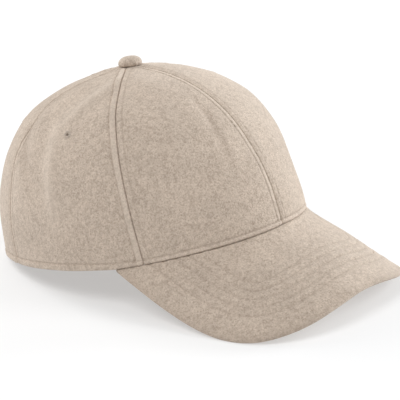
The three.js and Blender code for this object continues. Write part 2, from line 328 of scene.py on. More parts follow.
def sewn_relief(angle, climb):
    """How far the cloth stands above its smooth form: grooves at the seams and rows, welts
    between them, the swell of the turned hem, gathers, and soft ripples."""
    around = np.abs(angle)
    speed = speed_round(angle, climb)
    shown = smoothstep(girth(angle, climb), BUTTON_COVER, SEWN_FULL)
    height = np.zeros_like(speed)
    for name, seam in SEAMS.items():
        side = (around - seam_angle(seam, climb)) * speed
        away = np.abs(side)
        along = np.interp(climb, seam_climbs, seam_lengths[name])
        raised = side > 0 if name in ("temple", "ear") else angle > 0
        welt = np.where(raised, WELT_FRONT if name == "front" else WELT, WELT_LOW)
        ramp = np.minimum(away / WELT_CREST, 1)
        band = ramp * (1 - smoothstep(away, WELT_CREST, WELT_END))
        sewn = band * (welt + puckers(along + np.sign(side) * PUCKER_SHIFT))
        pulled = np.where(raised, ROW_GROOVE, ROW_GROOVE_LOW)
        row = pulled * bump(away - ROW_AWAY, ROW_WIDTH) * dimples(along)
        height += shown * (sewn - row)
        height -= SEAM_GROOVE * lerp(TIP_GROOVE, 1, shown) * bump(away, SEAM_GROOVE_WIDTH)
    up = (climb - hem_climb(angle)) * speed_up(angle, climb)
    along = np.interp(around, hem_angles, hem_lengths)
    above = up - hem_row_height(angle)
    height += HEM_SWELL * (1 - smoothstep(above, *HEM_SWELL_ENDS))
    height += puckers(along) * bump(above, HEM_PUCKER_WIDTH)
    height -= ROW_GROOVE * bump(above, ROW_WIDTH) * dimples(along)
    return height + crease_height(angle, climb) + ripples(crown_point(angle, climb))


def painted_light_and_shade(angle, climb):
    """How much painted light each point gets, to 1: a painted highlight on the raised side of
    each seam between the seam and its row, and on the turned hem over the peak, under its row.
    Ridges get painted highlight by their height; furrows and the sewn rows get painted shade,
    below 0."""
    speed = speed_round(angle, climb)
    pale = np.zeros_like(speed)
    painted_row_shade = np.zeros_like(speed)
    for name, seam in SEAMS.items():
        side = (np.abs(angle) - seam_angle(seam, climb)) * speed
        raised = side > 0 if name in ("temple", "ear") else angle > 0
        away = np.abs(side)
        # Painted highlight on the raised side of each seam, between the seam and its row
        band = smoothstep(away, *HIGHLIGHT_STARTS) * (1 - smoothstep(away, WELT_CREST, ROW_AWAY))
        highlight_share = np.where(raised, HIGHLIGHT_FRONT if name == "front" else 1, HIGHLIGHT_LOW)
        pale = np.maximum(pale, highlight_share * band)
        # Painted shade along each seam's row, where its groove lies
        painted_row_shade = np.maximum(painted_row_shade, bump(away - ROW_AWAY, ROW_WIDTH))
    up = (climb - hem_climb(angle)) * speed_up(angle, climb)
    above = up - hem_row_height(angle)
    hem = smoothstep(up, *HEM_HIGHLIGHT_STARTS) * (1 - smoothstep(above, *HEM_HIGHLIGHT_ENDS))
    over_peak = 1 - smoothstep(np.abs(angle), *HEM_ROW_DROPS)
    pale = np.maximum(pale, HEM_HIGHLIGHT * hem * over_peak)
    # Painted shade along the hem row
    painted_row_shade = np.maximum(painted_row_shade, bump(above, ROW_WIDTH))
    # Ridges get painted highlight and furrows painted shade, by their height
    return pale - PAINTED_ROW_SHADE * painted_row_shade + crease_height(angle, climb) / CREASE_LIGHT_DEPTH


def cloth_face(angle, climb):
    """The outer face of the sewn cloth, upright: the dome moved along its way out by the
    relief, less the hollows."""
    height = sewn_relief(angle, climb) - hollow_depth(angle, climb)
    return crown_point(angle, climb) + way_out(crown_point, angle, climb) * height[..., None]


# The wool
# Melton is a thick felted twill, here spun from light and dark beige fibres, brushed until
# the weave is gone and left with a short soft nap.
WOOL = (0.545, 0.448, 0.365, 1)
WOOL_DARK = (0.335, 0.262, 0.205, 1)
WOOL_LIGHT = (0.70, 0.60, 0.505, 1)
WOOL_SHEEN = (0.95, 0.88, 0.8, 1)
FLECK_SIZE = 1.0 * MM
MOTTLE_SIZE = 2.8 * MM
CLOUD_SIZE = 16 * MM
FIBRE_SIZE = 0.5 * MM
FIBRE_STRETCHES = ((5, 1, 1), (1, 5, 1), (1, 1, 5))
DARK_FLECKS = 0.76
LIGHT_FLECKS = 0.6
FIBRES = 0.5
MOTTLE = 0.56
# How far painted highlight and painted shade mix into the wool
PAINTED_HIGHLIGHT_MIX = 0.32
PAINTED_SHADE_MIX = 0.42
NAP_DEPTH = 0.7 * MM


def fibre_noise(nodes, links, coordinates, size, stretch, detail=2.0):
    """A noise node's output, with grains of a size in metres, longer along one axis."""
    mapping = nodes.new("ShaderNodeMapping")
    mapping.inputs["Scale"].default_value = [1 / (size * s) for s in stretch]
    mapping.inputs["Rotation"].default_value = (0.5 * stretch[0], 0.4 * stretch[1], 0.7)
    noise = nodes.new("ShaderNodeTexNoise")
    noise.inputs["Scale"].default_value = 1
    noise.inputs["Detail"].default_value = detail
    noise.inputs["Roughness"].default_value = 0.6
    links.new(coordinates, mapping.inputs["Vector"])
    links.new(mapping.outputs["Vector"], noise.inputs["Vector"])
    return noise.outputs["Fac"]


def mixed(nodes, links, mode, share, first, second):
    """The colour output of a Mix node of two colours, each a value or an output."""
    mix = nodes.new("ShaderNodeMix")
    mix.data_type = "RGBA"
    mix.blend_type = mode
    sockets = (("Factor", "VALUE", share), ("A", "RGBA", first), ("B", "RGBA", second))
    for name, kind, value in sockets:
        socket = next(s for s in mix.inputs if s.name == name and s.type == kind)
        if isinstance(value, bpy.types.NodeSocket):
            links.new(value, socket)
        else:
            socket.default_value = value
    return next(s for s in mix.outputs if s.type == "RGBA")


def ranged(nodes, links, value, low, high, to_low, to_high):
    """A value remapped from one range to another and held inside it."""
    node = nodes.new("ShaderNodeMapRange")
    links.new(value, node.inputs["Value"])
    node.inputs["From Min"].default_value = low
    node.inputs["From Max"].default_value = high
    node.inputs["To Min"].default_value = to_low
    node.inputs["To Max"].default_value = to_high
    return node.outputs["Result"]


def wool_material(name, depth):
    """Brushed wool: dark and light flecks over a mid beige, a darker mottle, faint clouds,
    long fibres in three directions, and a nap that bumps the surface by a depth in metres.
    Where the attribute of painted light is above 0 the colour is mixed paler, a painted
    highlight, and below 0 darker, painted shade."""
    material = bpy.data.materials.new(name)
    material.use_nodes = True
    nodes, links = material.node_tree.nodes, material.node_tree.links
    shader = nodes["Principled BSDF"]
    place = nodes.new("ShaderNodeTexCoord").outputs["Object"]

    flecks = fibre_noise(nodes, links, place, FLECK_SIZE, (1, 1, 1), 4)
    mottle = fibre_noise(nodes, links, place, MOTTLE_SIZE, (1, 1, 1), 4)
    clouds = fibre_noise(nodes, links, place, CLOUD_SIZE, (1, 1, 1))
    fibres = [fibre_noise(nodes, links, place, FIBRE_SIZE, way) for way in FIBRE_STRETCHES]
    dark = ranged(nodes, links, flecks, 0.50, 0.34, 0, DARK_FLECKS)
    light = ranged(nodes, links, flecks, 0.52, 0.68, 0, LIGHT_FLECKS)
    colour = mixed(nodes, links, "MIX", dark, WOOL, WOOL_DARK)
    colour = mixed(nodes, links, "MIX", light, colour, WOOL_LIGHT)
    for k, fibre in enumerate(fibres):
        tone = WOOL_DARK if k == 1 else WOOL_LIGHT
        share = ranged(nodes, links, fibre, 0.58, 0.72, 0, FIBRES)
        colour = mixed(nodes, links, "MIX", share, colour, tone)
    shade = ranged(nodes, links, mottle, 0.54, 0.32, 0, MOTTLE)
    colour = mixed(nodes, links, "MIX", shade, colour, WOOL_DARK)
    # Painted light: above 0 a painted highlight, below 0 painted shade
    painted_light = nodes.new("ShaderNodeAttribute")
    painted_light.attribute_name = "painted_light"
    highlight_share = ranged(nodes, links, painted_light.outputs["Fac"], 0, 1, 0, PAINTED_HIGHLIGHT_MIX)
    colour = mixed(nodes, links, "MIX", highlight_share, colour, WOOL_LIGHT)
    shade_share = ranged(nodes, links, painted_light.outputs["Fac"], 0, -1, 0, PAINTED_SHADE_MIX)
    colour = mixed(nodes, links, "MIX", shade_share, colour, WOOL_DARK)
    cloudy = ranged(nodes, links, clouds, 0.3, 0.7, 0.95, 1.05)
    grey = nodes.new("ShaderNodeCombineColor")
    for channel in ("Red", "Green", "Blue"):
        links.new(cloudy, grey.inputs[channel])
    colour = mixed(nodes, links, "MULTIPLY", 1.0, colour, grey.outputs["Color"])
    links.new(colour, shader.inputs["Base Color"])

    nap = nodes.new("ShaderNodeMath")
    nap.operation = "ADD"
    links.new(flecks, nap.inputs[0])
    links.new(fibres[0], nap.inputs[1])
    raised = nodes.new("ShaderNodeBump")
    raised.inputs["Distance"].default_value = depth
    raised.inputs["Strength"].default_value = 0.55
    links.new(nap.outputs["Value"], raised.inputs["Height"])
    links.new(raised.outputs["Normal"], shader.inputs["Normal"])

    shader.inputs["Roughness"].default_value = 0.95
    shader.inputs["Specular IOR Level"].default_value = 0.2
    shader.inputs["Sheen Weight"].default_value = 0.3
    shader.inputs["Sheen Roughness"].default_value = 0.6
    shader.inputs["Sheen Tint"].default_value = WOOL_SHEEN
    return material


wool = wool_material("beige_wool_melton", NAP_DEPTH)

# The crown panels
# Six gores of melton, each one layer with its edges turned in: at the hem it is folded up
# and stitched, at its sides its allowances lie open under the rows. Seams pull them tight.
PANELS = [
    ("front", SEAMS["front"], SEAMS["temple"]),
    ("side", SEAMS["temple"], SEAMS["ear"]),
    ("back", SEAMS["ear"], SEAMS["back"]),
]
PANEL_COLUMNS = 96
COLUMN_CROWDING = 0.75
HEM_ROUND = CLOTH / 2
HEM_ROUND_ROWS = 4
HEM_BAND = 9 * MM
HEM_BAND_ROWS = 22
PANEL_ROWS = 190
SEAM_GAP = 0.03 * MM
INNER_ALLOWANCE = 7 * MM
INNER_STEP = 0.5 * MM
INNER_STEP_WIDTH = 0.5 * MM
INNER_HEM = 12 * MM
INNER_HEM_STEP_WIDTH = 0.6 * MM
INNER_TIP = (9 * MM, 14 * MM)
SHELL_SIDES = (("right", 1), ("left", -1))


def add_object(name, points, faces, material):
    """An object at the origin with a smooth mesh of these points and faces."""
    mesh = bpy.data.meshes.new(name)
    mesh.from_pydata(points.reshape(-1, 3).tolist(), [], faces)
    mesh.update()
    mesh.polygons.foreach_set("use_smooth", [True] * len(mesh.polygons))
    mesh.materials.append(material)
    obj = bpy.data.objects.new(name, mesh)
    bpy.context.scene.collection.objects.link(obj)
    return obj


def shell_faces(loops, count):
    """Faces of a closed body through a number of loops, each with an even count of points.
    Quads join each loop to the next, and a ladder of quads closes the first and the last."""
    corner = np.arange((loops - 1) * count).reshape(loops - 1, count)
    after = np.roll(corner, -1, axis=1)
    quads = np.stack([corner, after, after + count, corner + count], axis=-1).reshape(-1, 4)
    i = np.arange(count // 2 - 1)
    j = count - 1 - i
    last = (loops - 1) * count
    first_end = np.stack([i, j, j - 1, i + 1], axis=-1)
    last_end = np.stack([last + i, last + i + 1, last + j - 1, last + j], axis=-1)
    return np.concatenate([quads, first_end, last_end]).tolist()


def inner_depth(angle, climb):
    """How far the inner face lies below the smooth dome: the cloth, and one layer more over
    the seams' open allowances and the turned hem."""
    around = np.abs(angle)
    speed = speed_round(angle, climb)
    layers = 0
    for seam in SEAMS.values():
        away = np.abs((around - seam_angle(seam, climb)) * speed)
        turned = 1 - smoothstep(away, INNER_ALLOWANCE - INNER_STEP_WIDTH, INNER_ALLOWANCE)
        layers = np.maximum(layers, turned)
    up = (climb - hem_climb(angle)) * speed_up(angle, climb)
    layers = np.maximum(layers, 1 - smoothstep(up, INNER_HEM - INNER_HEM_STEP_WIDTH, INNER_HEM))
    layers = layers * smoothstep(girth(angle, climb), *INNER_TIP)
    return CLOTH + INNER_STEP * layers


def set_painted_light(piece, values):
    """Store each point's painted light, a highlight above 0 and shade below, for the wool to read.
    """
    painted_light = piece.data.attributes.new("painted_light", "FLOAT", "POINT")
    painted_light.data.foreach_set("value", values.ravel())


def panel_grid(start, end, side):
    """The panel's loops, and each point's painted light and shade. A loop runs from the rounded
    hem up the outside and back down the inside. Columns crowd to the seams by
    t - 0.75 sin(2 pi t) / 2 pi."""
    t = np.linspace(0, 1, PANEL_COLUMNS + 1)[:, None]
    across = t - COLUMN_CROWDING * np.sin(2 * np.pi * t) / (2 * np.pi)
    straight = lerp(np.radians(start[0]), np.radians(end[0]), across)

    turn = (np.arange(HEM_ROUND_ROWS) + 0.5) / HEM_ROUND_ROWS * np.pi / 2
    lifts = HEM_ROUND * (1 - np.cos(turn))
    inset = HEM_ROUND * (1 - np.sin(turn))
    band = np.linspace(HEM_ROUND, HEM_BAND, HEM_BAND_ROWS)
    lifts = np.concatenate([lifts, band])
    inset = np.concatenate([inset, np.zeros(HEM_BAND_ROWS)])
    hem = hem_climb(straight)
    low = hem + lifts / speed_up(straight, hem + 0.02)
    rest = np.linspace(0, 1, PANEL_ROWS + 1)[1:]
    high = lerp(low[:, -1:], tip_climb(straight), rest)
    climb = np.concatenate([low, high], axis=1)
    inset = np.concatenate([inset, np.zeros(PANEL_ROWS)])

    middle = lerp(seam_angle(start, climb), seam_angle(end, climb), across)
    gap = (0.5 - across) * SEAM_GAP / girth(middle, climb)
    angle = side * (middle + gap)
    out = way_out(crown_point, angle, climb)
    outside = cloth_face(angle, climb) - out * inset[:, None]
    depth = np.maximum(inner_depth(angle, climb) + hollow_depth(angle, climb) - inset, HEM_ROUND)
    inside = crown_point(angle, climb) - out * depth[..., None]
    points = put_down(np.concatenate([outside, inside[:, ::-1]], axis=1))
    pale = painted_light_and_shade(angle, climb)
    return points[::side], np.concatenate([pale, 0 * pale], axis=1)[::side]


panels = {}
for hand, side in SHELL_SIDES:
    for place, start, end in PANELS:
        loops, pale = panel_grid(start, end, side)
        name = f"panel_{place}_{hand}"
        faces = shell_faces(len(loops), loops.shape[1])
        panels[name] = add_object(f"wool_{name}", loops, faces, wool)
        # The panel's painted highlight and shade
        set_painted_light(panels[name], pale)
        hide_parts(name)
        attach(panels[name], "root")

# The eyelets
# Four round vent holes, each bound over and over with thread into a raised ring that grips
# both faces of the panel.
EYELETS = [("side", 88.3), ("back", 150)]
EYELET_CLIMB = 0.59
EYELET_HOLE = 0.85 * MM
EYELET_CUT = 1.45 * MM
EYELET_RADIUS = 3.0 * MM
EYELET_LIP = 0.42 * MM
EYELET_SIDES = 32
EYELET_DRILL = 5 * MM
EYELET_WRAPS = 40
WRAP_TURN = 0.94 * np.pi
WRAP_FULLNESS = 0.7
WRAP_WIDTH = 0.775
WRAP_STATIONS = 25
WRAP_SIDES = 6
EYELET_THREAD = (0.62, 0.53, 0.445)
STREAK_SIZE = 0.35 * MM
STREAK_TONE = 0.7
STREAK_SHARE = 0.35


def thread_material(name, colour):
    """Soft spun thread: one colour with a fine streak, quite rough."""
    material = bpy.data.materials.new(name)
    material.use_nodes = True
    nodes, links = material.node_tree.nodes, material.node_tree.links
    shader = nodes["Principled BSDF"]
    place = nodes.new("ShaderNodeTexCoord").outputs["Object"]
    streak = fibre_noise(nodes, links, place, STREAK_SIZE, (1, 1, 1), 1)
    share = ranged(nodes, links, streak, 0.35, 0.65, 0, STREAK_SHARE)
    dark = [c * STREAK_TONE for c in colour]
    spun = mixed(nodes, links, "MIX", share, (*colour, 1), (*dark, 1))
    links.new(spun, shader.inputs["Base Color"])
    shader.inputs["Roughness"].default_value = 0.8
    shader.inputs["Sheen Weight"].default_value = 0.2
    shader.inputs["Specular IOR Level"].default_value = 0.3
    return material


pale_thread = thread_material("pale_thread", EYELET_THREAD)


def tube_faces(tubes, stations, sides):
    """Quads of many tubes at once, with a flat many-sided face at each tube's two ends."""
    ring = np.arange(sides)
    step = np.arange(stations - 1)[:, None] * sides
    corner = step + ring
    after = step + np.roll(ring, -1)
    quads = np.stack([corner, after, after + sides, corner + sides], axis=-1).reshape(-1, 4)
    start = np.arange(tubes)[:, None, None] * stations * sides
    ends = np.stack([ring[::-1], (stations - 1) * sides + ring])
    return (start + quads).reshape(-1, 4).tolist() + (start + ends).reshape(-1, sides).tolist()


def tubes_along(paths, ups, widths, sides):
    """Rings of points round many paths at once. Each ring lies across its path, between
    the up direction and their cross product, at the radius given for it."""
    along = unit(np.gradient(paths, axis=1))
    across = unit(np.cross(along, ups))
    above = np.cross(along, across)
    turn = 2 * np.pi * np.arange(sides) / sides
    level = across[..., None, :] * np.cos(turn)[:, None]
    upright = above[..., None, :] * np.sin(turn)[:, None]
    return paths[..., None, :] + (level + upright) * widths[..., None, None]


def wrap_profile():
    """Radius and height of a wrap round the edge of the hole: from the cloth at the ring's
    foot over the lip, down through the hole and back under the cloth to its foot there."""
    t = np.linspace(-1, 1, WRAP_STATIONS)
    turn = t * WRAP_TURN
    half = (EYELET_RADIUS - EYELET_HOLE) / 2
    radius = EYELET_HOLE + half - half * np.cos(turn)
    thick = CLOTH / 2 + EYELET_LIP
    height = -CLOTH / 2 - thick * np.sign(turn) * np.abs(np.sin(turn)) ** WRAP_FULLNESS
    return radius, height


def eyelet_frame(angle):
    """The middle of an eyelet on the cloth, with its way out and two ways along the cloth."""
    spot = np.array([angle])
    climb = np.array([EYELET_CLIMB])
    middle = cloth_face(spot, climb)[0]
    out = way_out(crown_point, spot, climb)[0]
    level = unit(np.cross([0, 0, 1], out))
    return middle, out, level, np.cross(out, level)


for hand, side in SHELL_SIDES:
    for place, degrees in EYELETS:
        middle, out, level, upward = eyelet_frame(side * math.radians(degrees))
        panel = panels[f"panel_{place}_{hand}"]

        # The hole through the panel
        turn = 2 * np.pi * np.arange(EYELET_SIDES) / EYELET_SIDES
        ring = EYELET_CUT * (np.cos(turn)[:, None] * level + np.sin(turn)[:, None] * upward)
        reach = EYELET_DRILL * out
        drill = put_down(np.stack([middle - reach + ring, middle + reach + ring]))
        faces = tube_faces(1, 2, EYELET_SIDES)
        cutter = add_object("eyelet_cutter", drill, faces, wool)
        cut = panel.modifiers.new("eyelet_hole", "BOOLEAN")
        cut.object = cutter
        cut.solver = "EXACT"
        bpy.context.view_layer.objects.active = panel
        bpy.ops.object.modifier_apply(modifier=cut.name)
        bpy.data.objects.remove(cutter)

        # The thread wraps
        radius, height = wrap_profile()
        turn = 2 * np.pi * np.arange(EYELET_WRAPS) / EYELET_WRAPS
        spoke = np.cos(turn)[:, None] * level + np.sin(turn)[:, None] * upward
        paths = middle + spoke[:, None] * radius[:, None] + out * height[:, None]
        around = np.cross(out, spoke)[:, None] + 0 * paths
        widths = WRAP_WIDTH * np.pi * radius / EYELET_WRAPS + 0 * paths[..., 0]
        rings = tubes_along(paths, around, widths, WRAP_SIDES)
        faces = tube_faces(EYELET_WRAPS, WRAP_STATIONS, WRAP_SIDES)
        name = f"eyelet_{place}_{hand}"
        eyelet = add_object(f"thread_{name}", put_down(rings), faces, pale_thread)
        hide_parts(name)
        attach(eyelet, "root")

# The crown's stitches
# Lockstitch rows in beige thread beside each seam and along the hem. Each visible stitch
# is a short arched capsule of thread whose ends go down into the cloth.
THREAD = (0.50, 0.41, 0.335)
STITCH_LENGTH = 2.6 * MM
STITCH_RADIUS = 0.24 * MM
STITCH_ARCH = 0.16 * MM
STITCH_SINK = 0.22 * MM
STITCH_STATIONS = 7
STITCH_SIDES = 6
STITCH_SHARE = 0.96
STITCH_DIVE = 2.2
STITCH_TAPER = 0.8
ROW_BEGINS = 6 * MM
ROW_ENDS = 0.985

thread = thread_material("beige_thread", THREAD)


def stitches(points, ways, ups):
    """Arched capsules: the path is a chord along each stitch's way, lifted by a parabola,
    and the radius closes in to the ends as a half ellipse."""
    share = np.linspace(-STITCH_SHARE, STITCH_SHARE, STITCH_STATIONS)
    chord = share * STITCH_LENGTH / 2
    lift = STITCH_ARCH * (1 - STITCH_DIVE * share**2) - STITCH_SINK
    paths = points[:, None] + ways[:, None] * chord[:, None] + ups[:, None] * lift[:, None]
    widths = STITCH_RADIUS * np.sqrt(1 - share**2) ** STITCH_TAPER + 0 * paths[..., 0]
    return tubes_along(paths, ups[:, None] + 0 * paths, widths, STITCH_SIDES)


def spaced(line, pitch):
    """Positions a pitch apart along a line of points, as fractions of its index."""
    lengths = arc_lengths(line)
    places = np.arange(pitch / 2, lengths[-1], pitch)
    return np.interp(places, lengths, np.arange(len(line)))


def along_line(line, places):
    """A line's values at fractional places of its index, each column interpolated."""
    index = np.arange(len(line))
    return np.stack([np.interp(places, index, line[:, k]) for k in range(line.shape[1])], axis=-1)


def row_of_stitches(surface, normal, first, second):
    """Stitches a pitch apart along a line on a surface, which the arrays of its two
    parameters give, each turned the way from its place to one just ahead on the line."""
    line = np.stack([first, second], axis=-1)
    places = spaced(surface(first, second), STITCH_PITCH)
    a, b = along_line(line, places).T
    ahead = surface(*along_line(line, places + 0.02).T)
    return stitches(surface(a, b), unit(ahead - surface(a, b)), normal(a, b))


def crown_normal(angle, climb):
    """The way out of the smooth crown."""
    return way_out(crown_point, angle, climb)


rings = []
row_climbs = np.linspace(0, 1, 900)
for side in (1, -1):
    for name, seam in SEAMS.items():
        for away in (ROW_AWAY, -ROW_AWAY):
            if name == "front" and away < 0 or name == "back" and away > 0:
                continue
            low = hem_climb(seam_angle(seam, 0.5)) + ROW_BEGINS / CROWN_HEIGHT
            climb = lerp(low, ROW_ENDS, row_climbs)
            angle = seam_angle(seam, climb)
            angle = angle + away / speed_round(angle, climb)
            kept = girth(angle, climb) > BUTTON_COVER + 1 * MM
            row = row_of_stitches(cloth_face, crown_normal, side * angle[kept], climb[kept])
            rings.append(row)
around = np.linspace(-np.pi, np.pi, 4000)
climb = hem_climb(around)
climb = climb + hem_row_height(around) / speed_up(around, climb + 0.02)
rings.append(row_of_stitches(cloth_face, crown_normal, around, climb))
rings = np.concatenate(rings)
faces = tube_faces(len(rings), STITCH_STATIONS, STITCH_SIDES)
crown_stitches = add_object("crown_stitches", put_down(rings), faces, thread)
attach(crown_stitches, "root")

# The peak
# A curved board between two layers of melton, stiffened by concentric rows of stitching,
# with its edge seam rolled just under the rim. Its inner edge is sewn up under the hem.
PEAK_THICKNESS = 4 * MM
PEAK_LENGTH = 66.9 * MM
PEAK_WIDTH = 95.9 * MM
PEAK_SLOPE = math.radians(36.3)
PEAK_ARCH_NEAR = 3.84 * MM
PEAK_ARCH_NEAR_AT = 30 * MM
PEAK_ARCH_FAR = 1.79 * MM
PEAK_ARCH_FAR_AT = 60 * MM
PEAK_ROUNDNESS_ACROSS = 2.88
PEAK_ROUNDNESS_ALONG = 2.85
PEAK_CORNER_TURN_ACROSS = 7
PEAK_CORNER_TURN_UP = 6.5
PEAK_SINK = 1.9 * MM
PEAK_SINK_OUT = 8 * MM
CREVICE = 0.6 * MM
CREVICE_WIDTH = 0.9 * MM
PEAK_GAP = 0.1 * MM
PEAK_END = 0.997
PEAK_COLUMNS = 320
PEAK_ROWS = 130
UNDERSIDE_ROWS = 60
RIM_ROWS = 18
PEAK_ROW_FIRST = 16.3 * MM
PEAK_ROW_PITCH = 5.95 * MM
PEAK_ROW_COUNT = 5
PEAK_ROW_GROOVE = 0.58 * MM
PEAK_ROW_WIDTH = 0.62 * MM
CHANNEL = 0.32 * MM
# Painted shade in the peak's rows and towards its rim
PEAK_ROW_SHADE = 0.27
EDGE_SHADE = 0.6
EDGE_SHADE_REACH = 8 * MM
EDGE_SEAM = 0.35 * MM
EDGE_SEAM_TURN = -25
EDGE_SEAM_WIDTH = 9
TUCK_DEPTH = 1.6 * MM
PEAK_RIPPLE = 0.8
PEAK_PUCKER = 0.4
PEAK_PUCKER_SHIFT = 7 * MM
EDGE_POINTS = 1400
POINTS_AT_ONCE = 1500


def peak_junction(place):
    """The line where the peak's top meets the outside of the hem, from -1 to 1."""
    angle = place * PEAK_CORNER
    points = crown_point(angle, hem_climb(angle))
    points[..., 2] = hem_height(angle) - PEAK_GAP
    return points


def peak_droop(x, y):
    """The peak's height: a straight slope ahead of the hem, less an arch across."""
    ahead = -(y + HEM_FRONT)
    arch = PEAK_ARCH_NEAR * (x / PEAK_ARCH_NEAR_AT) ** 2
    arch = arch + PEAK_ARCH_FAR * (x / PEAK_ARCH_FAR_AT) ** 4
    return HEM_LIFT - math.tan(PEAK_SLOPE) * ahead - arch


def peak_edge(place):
    """The peak's outer edge, a superellipse whose ends turn in to the crown's corners."""
    turn = place * np.pi / 2
    across = np.abs(np.sin(turn))
    along = np.abs(np.cos(turn))
    corner = peak_junction(np.array(1.0))
    reach = PEAK_LENGTH * math.cos(PEAK_SLOPE) + HEM_FRONT + corner[1]
    half = PEAK_WIDTH * across ** (2 / PEAK_ROUNDNESS_ACROSS)
    half = half - (PEAK_WIDTH + corner[0]) * across**PEAK_CORNER_TURN_ACROSS
    x = -np.sign(place) * half
    y = corner[1] - reach * along ** (2 / PEAK_ROUNDNESS_ALONG)
    drop = peak_droop(corner[0], corner[1]) - corner[2]
    z = peak_droop(x, y) - drop * across**PEAK_CORNER_TURN_UP
    return np.stack([x, y, z], axis=-1)


def peak_normal(place, out, step=0.002):
    """The way up from the peak: its lines from crown to edge crossed with a step along it."""
    at = np.clip(place, step - 1, 1 - step)
    before = lerp(peak_junction(at - step), peak_edge(at - step), out[..., None])
    after = lerp(peak_junction(at + step), peak_edge(at + step), out[..., None])
    return unit(np.cross(after - before, peak_edge(at) - peak_junction(at)))


def peak_middle(place, out):
    """The middle of the peak's thickness: a straight line from the crown to the edge, sunk
    just ahead of the crown by a rise and decay that fades to the edge and the corners."""
    start = peak_junction(place)
    edge = peak_edge(place)
    away = out * np.linalg.norm(edge - start, axis=-1) / PEAK_SINK_OUT
    sink = PEAK_SINK * away * np.exp(1 - away) * (1 - out) * (1 - place**4)
    start = start - peak_normal(place, np.zeros_like(place)) * PEAK_THICKNESS / 2
    return lerp(start, edge, out[..., None]) - peak_normal(place, out) * sink[..., None]


edge_places = PEAK_END * np.sin(np.linspace(-np.pi / 2, np.pi / 2, EDGE_POINTS))
edge_line = peak_edge(edge_places)
edge_lengths = arc_lengths(edge_line)


def edge_distance(points):
    """The distance of each point from the nearest point of the peak's edge, and the length
    along the edge where that lies, worked out a row at a time."""
    flat = points.reshape(-1, 3)
    near, along = [], []
    for part in np.array_split(flat, max(1, len(flat) // POINTS_AT_ONCE)):
        gaps = np.linalg.norm(part[:, None] - edge_line, axis=-1)
        nearest = gaps.argmin(axis=1)
        near.append(gaps[np.arange(len(part)), nearest])
        along.append(edge_lengths[nearest])
    shape = points.shape[:-1]
    return np.concatenate(near).reshape(shape), np.concatenate(along).reshape(shape)


def among_rows(distance):
    """Place among the rows of stitches at a distance from the edge, counted in rows, and
    how far it is from the nearest row."""
    row = (distance - PEAK_ROW_FIRST) / PEAK_ROW_PITCH
    nearest = np.clip(np.round(row), 0, PEAK_ROW_COUNT - 1)
    return row, (row - nearest) * PEAK_ROW_PITCH


def peak_relief(place, out):
    """Height above the smooth peak: a groove along each row of stitches, dimpled where the
    thread goes in, a slight fullness of the cloth between rows, a crevice beside the crown
    and soft ripples."""
    middle = peak_middle(place, out)
    distance, along = edge_distance(middle)
    row, away = among_rows(distance)
    height = -PEAK_ROW_GROOVE * bump(away, PEAK_ROW_WIDTH) * dimples(along)
    between = (row > -1) & (row < PEAK_ROW_COUNT)
    height = height + np.where(between, CHANNEL * np.sin(np.pi * row) ** 2, 0)
    ahead = out * np.linalg.norm(peak_edge(place) - peak_junction(place), axis=-1)
    height = height - CREVICE * bump(ahead, CREVICE_WIDTH)
    gathers = PEAK_PUCKER * puckers(along + row * PEAK_PUCKER_SHIFT)
    return height + PEAK_RIPPLE * ripples(middle) + gathers


def peak_top(place, out):
    """The peak's upper face."""
    rise = PEAK_THICKNESS / 2 + peak_relief(place, out)
    return peak_middle(place, out) + peak_normal(place, out) * rise[..., None]


def peak_underside(place, out):
    """The peak's lower face."""
    rise = PEAK_THICKNESS / 2 + peak_relief(place, out)
    return peak_middle(place, out) - peak_normal(place, out) * rise[..., None]


def peak_shell():
    """Loops round the peak's section: tucked under the hem, out along the top, round the
    rim with its rolled seam, and back along the underside. With them each point's painted
    shade, in the rows on top and darker towards the rim."""
    spread = np.cos(np.pi * np.arange(PEAK_COLUMNS + 1) / PEAK_COLUMNS)
    turn = np.arcsin(np.abs(spread) ** (PEAK_ROUNDNESS_ACROSS / 2))
    place = (PEAK_END * np.sign(spread) * turn / (np.pi / 2))[:, None]
    length = np.linalg.norm(peak_edge(place) - peak_junction(place), axis=-1)
    radius = PEAK_THICKNESS / 2
    flat = np.maximum(0, 1 - radius / length)
    top_out = flat * np.linspace(0, 1, PEAK_ROWS + 1)
    under_out = flat * np.linspace(1, 0, UNDERSIDE_ROWS + 1)
    top = peak_top(place + 0 * top_out, top_out)
    under = peak_underside(place + 0 * under_out, under_out)

    around = np.linspace(90, -90, RIM_ROWS + 2)[1:-1]
    swell = 1 - EDGE_SEAM / radius * bump(around - EDGE_SEAM_TURN, EDGE_SEAM_WIDTH)
    rim_out = lerp(flat, 1, np.cos(np.radians(around)) * swell)
    rim_rise = radius * np.sin(np.radians(around)) * swell
    past = (rim_out - flat) / (1 - flat)
    middle = lerp(peak_middle(place, flat), peak_edge(place), past[..., None])
    relief = peak_relief(place, flat) * np.abs(np.sin(np.radians(around))) * np.sign(rim_rise)
    normal = peak_normal(place + 0 * rim_out, np.minimum(rim_out, 1))
    rim = middle + normal * (rim_rise + relief)[..., None]

    corner = place * PEAK_CORNER
    climb = hem_climb(corner)
    tuck = crown_point(corner, climb) - way_out(crown_point, corner, climb) * TUCK_DEPTH
    tuck[..., 2] = hem_height(corner) - PEAK_GAP
    lower = lerp(tuck, under[:, -1:], 0.5)
    # Painted shade along the rows on top and towards the rim
    distance, _ = edge_distance(peak_middle(place + 0 * top_out, top_out))
    rows = PEAK_ROW_SHADE * bump(among_rows(distance)[1], PEAK_ROW_WIDTH)
    distance = np.concatenate([distance, 0 * rim_out, (1 - under_out) * length], axis=1)
    painted_shade = EDGE_SHADE * (1 - smoothstep(distance, 0, EDGE_SHADE_REACH))
    painted_shade[:, :rows.shape[1]] += rows
    painted_shade = np.pad(painted_shade, [(0, 0), (2, 0)])
    return put_down(np.concatenate([lower, tuck, top, rim, under], axis=1)), painted_shade


